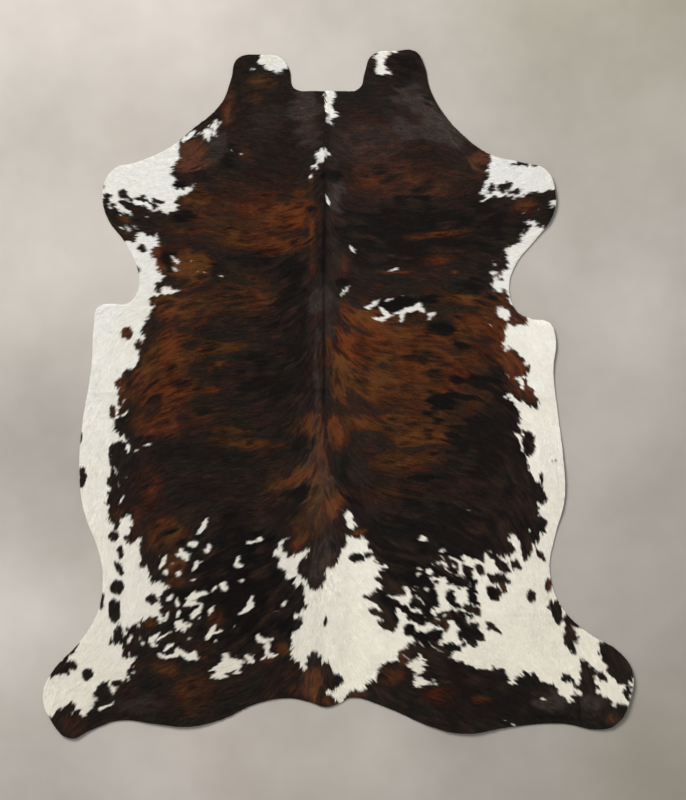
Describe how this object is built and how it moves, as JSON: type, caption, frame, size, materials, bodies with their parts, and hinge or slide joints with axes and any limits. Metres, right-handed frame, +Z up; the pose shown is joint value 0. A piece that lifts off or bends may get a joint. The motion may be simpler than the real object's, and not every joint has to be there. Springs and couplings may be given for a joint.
{
  "type": "cowhide rug",
  "caption": "Whole hair-on cowhide laid flat as a rug, hair side up, with a straight neck cut between two lobes, four legs, a tail stub and soft fold creases.",
  "frame": {"origin": "on the floor, under the middle of the hide's bounding box", "axes": "+Z up through the hair side, +Y towards the neck, +X towards the right-hand legs seen from above"},
  "size_m": [1.9372, 2.26, 0.0161],
  "materials": {
    "hide": "hair-on cowhide, dark brown and rust brindle with white, short glossy hair lying flat; natural suede back"
  },
  "bodies": {
    "root": {"hide": "hide"}
  },
  "joints": []
}
